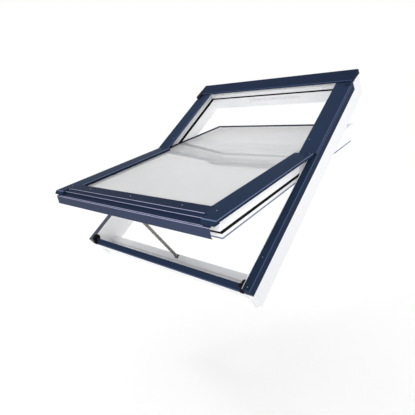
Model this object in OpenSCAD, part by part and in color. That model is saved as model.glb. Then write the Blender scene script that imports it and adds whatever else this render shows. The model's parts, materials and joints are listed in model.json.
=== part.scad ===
// Centre-pivot roof window, opened by an electric chain drive in the sill.
// Every piece is drawn in the plane of the roof: X across the window, Y up the slope from the
// window's lower end, Z out of the roof from the top of the edge strips. in_roof() then tilts the
// window to its roof pitch about X, and on_sash() swings the sash about its pivots.
// The origin is the middle of the sill's outer face.

/* [Window] */
// Width over the edge strips
frame_w = 940; // [660:10:1340]
// Height along the slope, from the sill cladding to the back of the hood
frame_h = 1180; // [980:10:1600]
// Pitch of the roof that the window lies in, in degrees
roof_pitch = 42; // [15:1:60]
// Angle that the sash stands open, in degrees
sash_open = 26.4; // [10:0.1:30]

/* [Frame bars] */
// Width of a jamb
jamb_w = 33.5; // [26:0.5:40]
// Width of the head
head_w = 31; // [26:0.5:45]
// Depth of the frame bars below the edge strips
frame_depth = 107; // [100:1:140]
// Depth of the lip that takes the room's lining, below the frame bars
lining_lip = 20; // [8:1:30]
// Thickness of the lining lip
lining_lip_t = 12; // [6:0.5:14]
// Wall of the plastic profiles
profile_wall = 2.8; // [2:0.1:4]
// Distance from the window's lower end to the inner edge of the sill
sill_reach = 91; // [86:1:110]
// Depth of the shelf in the sill that the closed sash comes down to
shelf_depth = 86; // [84:0.5:92]
// Depth of the sill's front ledge below its shelf
ledge_drop = 7.5; // [6:0.5:10]
// Width that the frame's seal stands out
frame_seal = 2.8; // [1.5:0.1:3.4]
// Height of the frame's seal
frame_seal_h = 8; // [3:0.5:12]

/* [Claddings] */
// Thickness of the aluminium sheet
sheet_t = 1.2; // [0.8:0.1:1.6]
// Outside radius of the folds in the sheet
fold_r = 2.6; // [1.8:0.1:4]
// Distance from a jamb's inner face to the edge strip on it
strip_back = 4; // [2:0.5:10]
// Depth of the edge strips' outer flange
strip_lip = 33; // [15:1:45]
// Width of the covers on the upper half of the frame
cover_w = 78.5; // [60:0.5:90]
// Height of those covers above the edge strips
cover_rise = 12.3; // [11:0.1:18]
// Depth of the hood down the slope
hood_reach = 88; // [70:1:110]
// Height of the hood above the edge strips
hood_rise = 21.6; // [20:0.1:30]
// Width of the hood past each edge strip
hood_over = 2.7; // [2.4:0.1:8]
// Depth of the hood's back flange
hood_flange = 26; // [24:1:90]
// Distance from the window's lower end to the top edge of the sill cladding
sill_clad_top = 20; // [16:0.5:26]
// Depth of the sill cladding's slope
sill_clad_drop = 21; // [14:0.5:30]

/* [Sash] */
// Clearance between the sash and each jamb
sash_gap = 6; // [5:0.1:9]
// Clearance between the closed sash and the sill cladding's top edge
sill_gap = 4; // [3:0.1:8]
// Clearance between the closed sash and the head
head_gap = 13; // [6:0.5:20]
// Width of the sash bars
sash_bar_w = 56; // [48:0.5:70]
// Depth of the sash bars' flange below the edge strips
flange_depth = 48; // [46:0.5:60]
// Height of the sash's seal, under the flange of its lower half
sash_seal_h = 12; // [3:0.5:14]
// Depth of the sash bars below the edge strips
sash_depth = 82; // [76:0.5:84]
// Width of the covers on the lower half of the sash
sash_cover_w = 86; // [76:0.5:96]
// Height of those covers above the edge strips
sash_cover_rise = 11.6; // [10.5:0.1:12]
// Distance that the side covers run past the window's lower end
cover_overrun = 26; // [15:1:35]
// Distance that the drip front stands below the window's lower end
drip_overrun = 30; // [24:1:45]
// Depth of the drip front's lower edge below the edge strips
drip_depth = 44.5; // [36:0.5:60]

/* [Glass] */
// Thickness of a pane
pane_t = 4; // [3:0.5:6]
// Width of the gas space between the panes
pane_space = 16; // [12:1:18]
// Depth of the outer pane's face below the edge strips
pane_drop = 0.5; // [0.3:0.1:1]

/* [Pivots] */
// Height of the pivots above the middle of the window
pivot_rise = 35; // [0:1:60]
// Height of the pivots above the edge strips
pivot_out = 2; // [1:0.1:2.4]
// Radius of the pivot pins
pin_r = 4; // [3:0.25:4.5]
// Running clearance of the pins, on the radius
pin_clear = 0.05; // [0.02:0.01:0.1]
// Half length of the hinge plates
plate_reach = 70; // [50:1:90]

/* [Chain drive] */
// Place of the chain across the window, from the middle
chain_x = 17; // [-60:1:60]
// Distance of the chain's outlet from the window's lower end
outlet_v = 80; // [79:0.5:81]
// Distance of the chain's eye up the sash, from the window's lower end
eye_v = 49; // [46:0.5:56]
// Depth of the chain's eye below the edge strips when the window is closed
eye_drop = 88.5; // [88.5:0.1:89]
// Distance between the chain's pins
link_pitch = 12; // [10:0.5:15]
// Width of the chain over its pins
chain_w = 14; // [9:0.5:14]
// Height of the chain's links
link_h = 10; // [8:0.5:10]

/* [Ventilation] */
// Length of the vent in the head
vent_l = 330; // [200:10:400]
// Height of the vent's face
vent_h = 22; // [16:1:26]
// Travel of the vent's shutter
vent_travel = 12; // [8:1:14]

/* [Hidden] */
$fn = 48;
// how far a cut runs past the face it opens
past = 1;
// gap between pieces that clip together, and the small lap of a cap over its seat
play = 0.3;
seat_lap = 0.01;
half_w = frame_w / 2;
// the plastic frame stands just inside the edge strips and just under them
jamb_out = half_w - sheet_t - play;
jamb_in = jamb_out - jamb_w;
bar_top = -sheet_t - play;
sill_out = sheet_t + 1;
sill_wall = sill_clad_top - 0.5;
head_in = frame_h - sheet_t - play - 10.5 - head_w;
head_out = head_in + head_w;
sill_foot = 62;
origin_w = -(sill_clad_drop + 7 + sill_foot) / 2;
// steel in the hollow bars, and the holes that drain them
steel_t = 1.5;
steel_back = 60;
weep_r = 2.5;
weep_place = 40;
// round screw heads on the sheet
screw_r = 3;
screw_h = 1.2;
// sash outline, closed; its lower part stands back from the flange by a step on each side
sash_x = jamb_in - sash_gap;
sash_low = sill_clad_top + sill_gap;
sash_high = head_in - head_gap;
step_side = 4;
step_low = 11;
step_high = 34;
glass_x = sash_x - sash_bar_w;
glass_low = sash_low + sash_bar_w - 6;
bottom_edge = glass_low - 7;
glass_high = sash_high - sash_bar_w;
pane_gap = 2;
tape_t = 3.5;
bar_face = -pane_drop - pane_t - tape_t;
// slim upstand of the bars round the pane's edge
upstand_t = 1.6;
upstand_top = -pane_drop - 0.5;
inner_pane_top = -pane_drop - pane_t - pane_space;
inner_pane_low = inner_pane_top - pane_t;
pivot_v = frame_h / 2 + pivot_rise;
// the covers of the sash stop above the pivots' line, and those of the frame start on it
cover_gap = 11;
cover_start = pivot_v - 3;
strip_x = jamb_in + strip_back;
cover_x = half_w - cover_w;
sash_cover_out = half_w - 10.5;
sash_cover_in = sash_cover_out - sash_cover_w;
cover_tongue = 57.5;
tongue_x = sash_cover_out - cover_tongue;
bottom_cover_x = sash_cover_in + 15;
bottom_step_1 = 16;
bottom_step_2 = -5;
drip_x = half_w - 29;
hood_x = half_w + hood_over;
hood_low = frame_h - hood_reach;
hood_lap = 4;
// chain: from its outlet in the sill to its eye on the sash
outlet = [outlet_v, -shelf_depth - 2];
eye = swung([eye_v, -eye_drop]);
chain_run = eye - outlet;
chain_len = norm(chain_run);
chain_lean = atan2(-chain_run[0], chain_run[1]);
link_count = floor((chain_len - 6) / link_pitch);
eye_r = 2.5;
eye_out = 4;
plate_t = 2.6;
arm_reach = plate_reach + 15;
sprocket_r = 12;
sprocket_t = 5;
sprocket_teeth = 9;
// corners of one tooth, as [share of the pitch from its middle, radius]
sprocket_tooth = [[-0.35, sprocket_r - 2.5], [-0.14, sprocket_r], [0.14, sprocket_r], [0.35, sprocket_r - 2.5]];

// a point of the closed sash, [up the slope, out of the roof], once the sash has swung open
function swung(p) = [
    pivot_v + (p[0] - pivot_v) * cos(sash_open) + (p[1] - pivot_out) * sin(sash_open),
    pivot_out - (p[0] - pivot_v) * sin(sash_open) + (p[1] - pivot_out) * cos(sash_open)];

// outline of a sheet of thickness t folded along the points p, on the left of their direction
function unit(v) = v / norm(v);
function left_of(v) = [-v[1], v[0]];
function fold_shift(p, i) =
    let (a = left_of(unit(p[max(i, 1)] - p[max(i, 1) - 1])),
         last = len(p) - 1,
         b = left_of(unit(p[min(i, last - 1) + 1] - p[min(i, last - 1)])))
    (a + b) / (1 + a * b);
function folded(p, t) = concat(p, [for (i = [len(p) - 1:-1:0]) p[i] + t * fold_shift(p, i)]);

// the same path with its corners rounded as a press leaves them
fold_steps = 4;
function turned(v, a) = [v[0] * cos(a) - v[1] * sin(a), v[0] * sin(a) + v[1] * cos(a)];
function bend(a, b, c) =
    let (into = unit(b - a), out = unit(c - b), turn = acos(into * out),
         side = sign(into[0] * out[1] - into[1] * out[0]),
         cut = min(fold_r * tan(turn / 2), 0.45 * min(norm(b - a), norm(c - b))),
         arm = side * cut / tan(turn / 2) * left_of(into))
    [for (i = [0:fold_steps]) b - cut * into + arm - turned(arm, side * turn * i / fold_steps)];
function bent(p) = concat([p[0]],
    [for (i = [1:len(p) - 2]) each bend(p[i - 1], p[i], p[i + 1])], [p[len(p) - 1]]);

module in_roof() {
    rotate([roof_pitch, 0, 0]) translate([0, 0, -origin_w]) children();
}

module on_sash() {
    in_roof() translate([0, pivot_v, pivot_out]) rotate([-sash_open, 0, 0])
        translate([0, -pivot_v, -pivot_out]) children();
}

// a section drawn in [across, out of the roof], run up the slope
module up_slope(low, high) {
    translate([0, high, 0]) rotate([90, 0, 0]) linear_extrude(high - low) children();
}

// a section drawn in [up the slope, out of the roof], run across the window
module across(from, to) {
    translate([from, 0, 0]) rotate([90, 0, 90]) linear_extrude(to - from) children();
}

// a box between two corners
module block(low, high) {
    translate(low) cube(high - low);
}

module both_sides() {
    children();
    mirror([1, 0, 0]) children();
}

// side is -1 for the left, 1 for the right; pieces are drawn on the right
module sided(side) {
    if (side < 0) mirror([1, 0, 0]) children();
    else children();
}

// ---- frame bars ----

jamb_chamber_low = -frame_depth + profile_wall;
jamb_chamber_high = bar_top - profile_wall;
steel_top = -frame_depth + 46;

module frame_jamb(side) {
    color("white") in_roof() sided(side) difference() {
        // its outer edge is cut back for the fold of the strip, and shouldered below the strip's flange
        up_slope(sill_out, head_out) polygon([[jamb_in, bar_top], [jamb_out - fold_r + sheet_t, bar_top],
            [jamb_out, bar_top - fold_r + sheet_t], [jamb_out, -strip_lip - play], [half_w, -strip_lip - play],
            [half_w, -frame_depth], [jamb_in + lining_lip_t, -frame_depth],
            [jamb_in + lining_lip_t, -frame_depth - lining_lip], [jamb_in, -frame_depth - lining_lip]]);
        // a chamber for the steel, one above it, and the weep holes that drain them
        block([jamb_in + profile_wall, sill_out + profile_wall, jamb_chamber_low],
            [jamb_out - profile_wall, head_out - profile_wall, steel_top]);
        block([jamb_in + profile_wall, sill_out + profile_wall, steel_top + profile_wall],
            [jamb_out - profile_wall, head_out - profile_wall, jamb_chamber_high]);
        for (v = [sill_out + weep_place, head_out - weep_place])
            translate([jamb_out - jamb_w / 4, v, -frame_depth - past])
                cylinder(h = steel_top + frame_depth + 2 * profile_wall, r = weep_r);
    }
}

module jamb_steel(side) {
    low = [jamb_in + profile_wall + play, sill_out + steel_back, jamb_chamber_low + play];
    high = [jamb_out - profile_wall - play, head_out - steel_back, steel_top - play];
    color("silver") in_roof() sided(side) difference() {
        block(low, high);
        block(low + [steel_t, -past, steel_t], high + [-steel_t, past, -steel_t]);
    }
}

module frame_head() {
    color("white") in_roof() difference() {
        across(-jamb_in, jamb_in) polygon([[head_in, bar_top], [head_out, bar_top],
            [head_out, -frame_depth], [head_in + lining_lip_t, -frame_depth],
            [head_in + lining_lip_t, -frame_depth - lining_lip], [head_in, -frame_depth - lining_lip]]);
        block([-jamb_in + profile_wall, head_in + vent_seat + profile_wall + past, jamb_chamber_low],
            [jamb_in - profile_wall, head_out - profile_wall, jamb_chamber_high]);
        for (x = [-jamb_in + weep_place, jamb_in - weep_place])
            translate([x, head_out - head_w / 4, -frame_depth - past])
                cylinder(h = 2 * profile_wall + past, r = weep_r);
        // seat of the vent, and its air slots through to the chamber
        translate([0, 0, vent_w])
            rounded_face(vent_l + 2 * play, vent_h + 2 * play, head_in - past, head_in + vent_seat);
        vent_slots(head_in, head_in + 2 * vent_seat, 1);
    }
}

vent_w = -82;
vent_seat = 6;
vent_slot_l = 10;
vent_slot_h = 3.2;
vent_slot_pitch = 24;
// how far the row of slots, and the shutter, stay from the vent's round ends
vent_slot_back = 42;
shutter_back = 24;
// the shutter's finger tab, and the window that it slides in
tab = [4, 10];

// the row of air slots; more of them are cut where the air goes on into the bar
module vent_slots(low, high, more) {
    last = vent_l / 2 - vent_slot_back;
    for (x = [-last - more * vent_slot_pitch / 2:vent_slot_pitch:last])
        translate([0, 0, vent_w]) block([x - vent_slot_l / 2, low, -vent_slot_h / 2],
            [x + vent_slot_l / 2, high, vent_slot_h / 2]);
}

// a plate with round ends, standing across the slope between two distances up it
module rounded_face(length, height, low, high) {
    translate([0, high, 0]) rotate([90, 0, 0]) linear_extrude(high - low) {
        square([length - height, height], center = true);
        for (s = [-1, 1]) translate([s * (length - height) / 2, 0]) circle(d = height);
    }
}

sill_step = 62;
ledge = -shelf_depth - ledge_drop;
// the sill cladding slopes down to a drip lip, which hangs down the sill's face
clad_edge = -6;
clad_lip = 7;
clad_slope_low = -sill_clad_drop + clad_edge;
clad_foot = clad_slope_low - clad_lip;
clad_gap = 1.5;
// chamber of the drive in the sill, open to the room's side
case_x = 210;
case_low = sill_out + 24;
case_high = sill_reach - profile_wall;
case_floor = -frame_depth - lining_lip + 2;

module frame_sill() {
    color("white") in_roof() difference() {
        across(-jamb_in, jamb_in) polygon([[0, clad_foot - play], [sill_out, clad_foot - play],
            [sill_out, clad_slope_low - clad_gap], [sill_wall, clad_edge - 2 - sheet_t], [sill_wall, ledge],
            [sill_step, ledge], [sill_step, -shelf_depth], [sill_reach, -shelf_depth],
            [sill_reach, -frame_depth - lining_lip],
            [sill_wall + lining_lip_t / 3, -frame_depth - lining_lip], [0, -sill_foot]]);
        block([-case_x + chain_x, case_low, -frame_depth - lining_lip - past],
            [case_x + chain_x, case_high, ledge - profile_wall]);
        // seat of the chain's outlet in the shelf
        block([chain_x - bezel_w, outlet_v - bezel_reach, ledge - profile_wall - past],
            [chain_x + bezel_w, case_high, -shelf_depth + past]);
    }
}

// the upper half of the sash closes from inside, so the frame's seal starts above the hinges
module frame_seal_ring() {
    seal_top = -flange_depth - frame_seal / 1.4;
    seal_low = seal_top - frame_seal_h;
    color("black") in_roof() {
        both_sides() block([jamb_in - frame_seal, pivot_v + plate_reach, seal_low],
            [jamb_in, head_in - frame_seal, seal_top]);
        block([-jamb_in, head_in - frame_seal, seal_low], [jamb_in, head_in, seal_top]);
    }
}

// ---- claddings on the frame ----

module edge_strip(side) {
    color("#2c3e58") in_roof() sided(side) {
        up_slope(0, hood_low + hood_lap) polygon(folded(bent([[strip_x, 0], [half_w, 0], [half_w, -strip_lip]]),
            -sheet_t));
        block([strip_x, 0, -strip_lip], [half_w - sheet_t / 2, sheet_t, -sheet_t / 2]);
    }
}

module upper_cover(side) {
    lip = 9;
    color("#2c3e58") in_roof() sided(side) up_slope(cover_start, hood_low + hood_lap) polygon(folded(bent([
        [cover_x, cover_rise - lip], [cover_x, cover_rise], [half_w, cover_rise], [half_w, play]]), -sheet_t));
}

module hood() {
    color("#2c3e58") in_roof() across(-hood_x, hood_x) polygon(folded(bent([
        [hood_low, cover_rise + play], [hood_low, hood_rise], [frame_h, hood_rise],
        [frame_h, hood_rise - hood_flange]]), -sheet_t));
}

module hood_brackets() {
    bracket_w = 30;
    bracket_t = 2;
    foot = bar_top + bracket_t;
    top = hood_rise - sheet_t;
    color("#8f939b") in_roof() for (x = [-320, 0, 320]) across(x - bracket_w / 2, x + bracket_w / 2)
        polygon(folded([[head_in + 4, foot], [head_in + 14, foot], [head_in + 20, top],
            [frame_h - sheet_t - 4, top]], -bracket_t));
}

// the cap closes the hood's end, and its foot stands on the cover below the hood
module hood_cap(side) {
    cap_t = 2;
    foot_w = 26;
    foot_reach = 32;
    foot_slope = 6;
    low = [hood_low + sheet_t + play, cover_rise + play];
    high = [frame_h - sheet_t - play, hood_rise - sheet_t - play];
    foot_top = high[1] - fold_r;
    color("#201a1c") in_roof() sided(side) {
        across(hood_x - cap_t, hood_x) polygon([low, [low[0], high[1] - past], [low[0] + past, high[1]],
            [high[0] - fold_r, high[1]], [high[0], high[1] - fold_r], [high[0], hood_rise - hood_flange]]);
        across(half_w - foot_w, half_w) polygon([[hood_low - foot_reach, cover_rise],
            [hood_low - foot_reach + foot_slope, foot_top], [hood_low - play, foot_top],
            [hood_low - play, cover_rise]]);
    }
}

module sill_cladding() {
    clad_end = jamb_in - sill_cap_w;
    slope = bent([[0, clad_foot], [0, clad_slope_low], [sill_clad_top - sheet_t, clad_edge]]);
    color("#2c3e58") in_roof() across(-clad_end, clad_end)
        polygon(folded(concat(slope, [[sill_clad_top, clad_edge - sheet_t]]), -sheet_t));
}

// a moulded corner piece with a round head, which the sash's drip front comes down over
sill_cap_w = 10;
module sill_cap(side) {
    seat = sill_out - seat_lap;
    color("#151417") in_roof() sided(side) across(jamb_in - sill_cap_w, jamb_in - play) polygon([
        [seat, clad_foot], [-3, clad_foot + 5], [-6, -22], [-6, -15], [-4, -10], [0, -6.5],
        [0.5, 2], [3.5, 6.5], [8, 8.6], [13, 8.4], [17, 6], [sill_clad_top - 2 * play, 1.5],
        [sill_wall, clad_edge - 2 - sheet_t + play], [seat, clad_slope_low - clad_gap + play]]);
}

module frame_screws() {
    strip_places = [12, 130];
    cover_places = [77];
    color("#9aa3b5") in_roof() both_sides() {
        for (v = strip_places) translate([(strip_x + half_w) / 2, v, 0]) cylinder(h = screw_h, r = screw_r);
        for (v = cover_places)
            translate([cover_x + 17, pivot_v + v, cover_rise]) cylinder(h = screw_h, r = screw_r);
    }
}

module head_screws() {
    color("#6f7078") in_roof() for (x = [-200, 30, 200])
        translate([x, head_in, -26]) rotate([90, 0, 0]) cylinder(h = 1, r = 2.6);
}

// ---- vent in the head ----

vent_proud = 0.8;
vent_plate_t = 2;

module vent_plate() {
    color("#e6e6e8") in_roof() difference() {
        translate([0, 0, vent_w]) rounded_face(vent_l, vent_h, head_in - vent_proud, head_in + vent_plate_t);
        vent_slots(head_in - 2 * vent_proud, head_in + vent_plate_t + past, 0);
        translate([0, 0, vent_w])
            block([-(vent_travel + tab[0]) / 2 - past, head_in - 2 * vent_proud, -tab[1] / 2 - past],
            [(vent_travel + tab[0]) / 2 + past, head_in + vent_plate_t + past, tab[1] / 2 + past]);
    }
}

module vent_shutter() {
    shutter_t = 1.7;
    tab_proud = 3;
    low = head_in + vent_plate_t + play;
    color("#d4d4d8") in_roof() difference() {
        translate([-vent_travel / 2, 0, vent_w]) {
            block([shutter_back - (vent_l - vent_travel) / 2, low, -0.36 * vent_h],
                [(vent_l + vent_travel) / 2 - shutter_back, low + shutter_t, 0.36 * vent_h]);
            block([-tab[0] / 2, head_in - tab_proud, -tab[1] / 2],
                [tab[0] / 2, low + shutter_t / 2, tab[1] / 2]);
        }
        vent_slots(low - past, low + shutter_t + past, 0);
    }
}

// ---- chain drive in the sill ----

case_t = 2;
case_top = ledge - profile_wall - play;
// the motor lies in the case, and its shaft runs on through the sprocket
motor_back = 60;
motor_r = 12.6;
sprocket_v = outlet_v - sprocket_r - link_h / 2 - 0.5;
sprocket_w = case_floor + case_t + play + motor_r + play;
shaft_r = 3;

module drive_case() {
    low = [-case_x + chain_x + case_t, case_low + play, case_floor];
    high = [case_x + chain_x - case_t, case_high - play, case_top];
    color("#c9c9cc") in_roof() difference() {
        block(low, high);
        block(low + [case_t, case_t, case_t], high - [case_t, case_t, -past]);
    }
}

module drive_motor() {
    motor_l = 90;
    color("#8d8f94") in_roof() translate([chain_x - motor_back - motor_l, sprocket_v, sprocket_w])
        rotate([0, 90, 0]) cylinder(h = motor_l, r = motor_r);
}

module drive_sprocket() {
    color("#7d7468") in_roof() translate([chain_x - sprocket_t / 2, sprocket_v, sprocket_w])
        rotate([90, 0, 90]) difference() {
            linear_extrude(sprocket_t) polygon([for (i = [0:sprocket_teeth - 1]) for (corner = sprocket_tooth)
                let (turn = (i + corner[0]) * 360 / sprocket_teeth) corner[1] * [cos(turn), sin(turn)]]);
            translate([0, 0, -past]) cylinder(h = sprocket_t + 2 * past, r = shaft_r + pin_clear);
        }
}

module sprocket_shaft() {
    color("silver") in_roof() translate([chain_x - motor_back + play, sprocket_v, sprocket_w])
        rotate([0, 90, 0]) cylinder(h = motor_back + 3 * sprocket_t, r = shaft_r);
}

bezel_w = 10;
bezel_reach = 8.3;
bezel_play = 0.8;
module chain_outlet() {
    color("#1c1b1e") in_roof() difference() {
        block([chain_x - bezel_w + play, outlet_v - bezel_reach + play, ledge - profile_wall],
            [chain_x + bezel_w - play, case_high - play, -shelf_depth - 1.5]);
        block([chain_x - chain_w / 2 - bezel_play, outlet_v - link_h / 2 - bezel_play, -frame_depth],
            [chain_x + chain_w / 2 + bezel_play, outlet_v + link_h / 2 + bezel_play, 0]);
    }
}

// the run of chain that stands out of its outlet: links alternately wide and narrow, an eye on
// the sash's end, and a short tail that hangs down beside the sprocket
module chain() {
    tail_l = 16;
    narrow = chain_w - 2.4;
    eye_link = chain_len - link_count * link_pitch;
    color("#8b857b") in_roof() translate([chain_x, outlet[0], outlet[1]]) {
        rotate([chain_lean, 0, 0]) {
            for (i = [0:link_count - 1])
                link(i % 2 == 0 ? chain_w : narrow, link_h, i * link_pitch, (i + 1) * link_pitch);
            difference() {
                union() {
                    link(narrow, link_h, chain_len - eye_link, chain_len - 2 * eye_out);
                    link(narrow, 2 * eye_out, chain_len - 2 * eye_out, chain_len);
                    translate([-narrow / 2, 0, chain_len]) rotate([0, 90, 0]) cylinder(h = narrow, r = eye_out);
                }
                translate([-chain_w, 0, chain_len]) rotate([0, 90, 0])
                    cylinder(h = 2 * chain_w, r = eye_r + play);
            }
        }
        link(narrow, link_h, -tail_l, past);
    }
}

module link(wide, thick, low, high) {
    block([-wide / 2, -thick / 2, low], [wide / 2, thick / 2, high]);
}

// ---- pivots ----

boss_r = 7.6;

// plate on the jamb: a long foot, and an ear that carries the pin above the strips
module hinge_outline(reach, foot_low, foot_top) {
    translate([pivot_v - reach, foot_low]) square([2 * reach, foot_top - foot_low]);
    translate([pivot_v, pivot_out]) circle(r = boss_r);
    translate([pivot_v - boss_r, foot_low]) square([2 * boss_r, pivot_out - foot_low]);
}

// the pin's bore in the plate that starts at x
module pin_bore(x) {
    translate([x - past, pivot_v, pivot_out]) rotate([0, 90, 0])
        cylinder(h = plate_t + 2 * past, r = pin_r + pin_clear);
}

module hinge_plate(side) {
    color("#b9bcc2") in_roof() sided(side) difference() {
        across(jamb_in - plate_t, jamb_in) hinge_outline(plate_reach, -flange_depth + 4, -6);
        pin_bore(jamb_in - plate_t);
    }
}

module hinge_arm(side) {
    color("#a9adb4") on_sash() sided(side) difference() {
        across(sash_x, sash_x + plate_t) hinge_outline(arm_reach, -flange_depth + 8, -12);
        pin_bore(sash_x);
    }
}

module pivot_pin(side) {
    color("silver") in_roof() sided(side) translate([sash_x, pivot_v, pivot_out]) rotate([0, 90, 0])
        cylinder(h = jamb_in - sash_x, r = pin_r);
}

// ---- sash bars ----

module sash_section() {
    polygon([[glass_x, bar_face], [sash_x - upstand_t, bar_face], [sash_x - upstand_t, upstand_top],
        [sash_x, upstand_top], [sash_x, -flange_depth],
        [sash_x - step_side, -flange_depth], [sash_x - step_side, -sash_depth], [glass_x, -sash_depth]]);
}

// chambers of a stile: a small one by its ends and inner face, and a wide one above it
stile_chamber_top = -flange_depth + 2;
stile_chamber_in = glass_x + 20;
stile_end_wall = 16;

module sash_stile(side) {
    color("white") on_sash() sided(side) difference() {
        up_slope(sash_low, sash_high) sash_section();
        // the lower part of the bar stands back from the flange at both ends
        block([glass_x - past, sash_low - past, -sash_depth - past],
            [sash_x + past, sash_low + step_low, -flange_depth]);
        block([glass_x - past, sash_high - step_high, -sash_depth - past],
            [sash_x + past, sash_high + past, -flange_depth]);
        block([stile_chamber_in, sash_low + stile_end_wall, -sash_depth + profile_wall],
            [sash_x - step_side - profile_wall, sash_high - step_high - profile_wall, stile_chamber_top]);
        block([glass_x + profile_wall, sash_low + stile_end_wall, stile_chamber_top + profile_wall],
            [sash_x - profile_wall, sash_high - stile_end_wall, bar_face - profile_wall]);
        for (v = [sash_low + steel_back, sash_high - steel_back])
            translate([stile_chamber_in + 4 * weep_r, v, -sash_depth - past])
                cylinder(h = stile_chamber_top + sash_depth + 2 * profile_wall, r = weep_r);
    }
}

module stile_steel(side) {
    low = [stile_chamber_in + play, sash_low + steel_back, -sash_depth + profile_wall + play];
    high = [sash_x - step_side - profile_wall - play, sash_high - steel_back - 20, stile_chamber_top - play];
    color("silver") on_sash() sided(side) difference() {
        block(low, high);
        block(low + [steel_t, -past, steel_t], high + [-steel_t, past, -steel_t]);
    }
}

// a rail between the stiles; its outer edge is at the sash's end, its inner edge at the glass
module sash_rail(end, glass, step) {
    toward = sign(glass - end);
    under = end + toward * step;
    color("white") on_sash() difference() {
        across(-glass_x, glass_x) polygon([[glass, bar_face], [end + toward * upstand_t, bar_face],
            [end + toward * upstand_t, upstand_top], [end, upstand_top], [end, -flange_depth],
            [under, -flange_depth], [under, -sash_depth], [glass, -sash_depth]]);
        across(-glass_x + profile_wall, glass_x - profile_wall) polygon([
            [glass - toward * profile_wall, bar_face - profile_wall],
            [end + toward * profile_wall, bar_face - profile_wall],
            [end + toward * profile_wall, -flange_depth + profile_wall],
            [glass - toward * profile_wall, -flange_depth + profile_wall]]);
        for (x = [-glass_x + steel_back, glass_x - steel_back])
            translate([x, glass - toward * 4 * weep_r, -sash_depth - past])
                cylinder(h = sash_depth - flange_depth + 2 * profile_wall, r = weep_r);
    }
}

module sash_top_rail() { sash_rail(sash_high, glass_high, step_high); }
module sash_bottom_rail() { sash_rail(sash_low, glass_low, step_low); }

// the lower half of the sash closes from outside, so its seal runs up to the hinge arms
module sash_seal() {
    seal = 3.9;
    seal_low = -flange_depth - sash_seal_h;
    side_x = sash_x - step_side;
    low = sash_low + step_low;
    color("#141316") on_sash() {
        both_sides() block([side_x, low, seal_low], [side_x + seal, pivot_v - arm_reach, -flange_depth]);
        block([-side_x - seal, low - seal, seal_low], [side_x + seal, low, -flange_depth]);
    }
}

// ---- glass ----

pane_edge = 2;
spacer_w = 12;
tape_w = 16;

module outer_pane() {
    color("#dfe6e8", 0.5) on_sash() block([-sash_x + pane_edge, sash_low + pane_edge, -pane_drop - pane_t],
        [sash_x - pane_edge, sash_high - pane_edge, -pane_drop]);
}

module inner_pane() {
    color("#dfe6e8", 0.5) on_sash() block([-glass_x + pane_gap, glass_low + pane_gap, inner_pane_low],
        [glass_x - pane_gap, glass_high - pane_gap, inner_pane_top]);
}

// a ring round the glass, from an outer outline inwards by a width
module glass_ring(x, low, high, width, floor, top) {
    both_sides() block([x - width, low, floor], [x, high, top]);
    block([-x + width, low, floor], [x - width, low + width, top]);
    block([-x + width, high - width, floor], [x - width, high, top]);
}

module pane_spacer() {
    color("#3a3b3f") on_sash() glass_ring(glass_x - pane_gap, glass_low + pane_gap, glass_high - pane_gap,
        spacer_w, inner_pane_top, -pane_drop - pane_t);
}

module pane_tape() {
    back = pane_edge + 1;
    color("#202124") on_sash() glass_ring(sash_x - back, sash_low + back, sash_high - back,
        tape_w, bar_face, bar_face + tape_t);
}

module glazing_beads() {
    bead = 18;
    bead_h = 22;
    low = inner_pane_low - bead_h;
    color("white") on_sash() {
        both_sides() block([glass_x - bead, glass_low, low], [glass_x, glass_high, inner_pane_low]);
        for (v = [glass_low, glass_high - bead])
            block([-glass_x + bead + play, v, low], [glass_x - bead - play, v + bead, inner_pane_low]);
    }
}

// slim edging round the glass on the upper half, which the frame's covers shelter
module glass_edging() {
    leg = 14;
    rise = 3;
    start = pivot_v + 14;
    lip = -pane_drop + play;
    foot = upstand_top + play;
    color("#2c3550") on_sash() {
        both_sides() up_slope(start, sash_high) polygon(folded([[sash_x - leg, lip], [sash_x - leg, rise],
            [sash_x, rise], [sash_x, foot]], -sheet_t));
        across(-sash_x + sheet_t, sash_x - sheet_t) polygon(folded([[sash_high - leg, lip],
            [sash_high - leg, rise], [sash_high, rise], [sash_high, foot]], -sheet_t));
    }
}

// ---- claddings on the sash ----

// line of the bottom cover's top, from the fold under the glass to the drip front
tread = [sash_cover_rise - 3, sash_cover_rise - 5];
apron = [-1, -5];
bottom_end = -drip_overrun + 3;
bottom_line = [[bottom_step_1, sash_cover_rise], [bottom_step_1, tread[0]],
    [bottom_step_2, tread[1]], [bottom_step_2, apron[0]], [bottom_end, apron[1]]];

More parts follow.
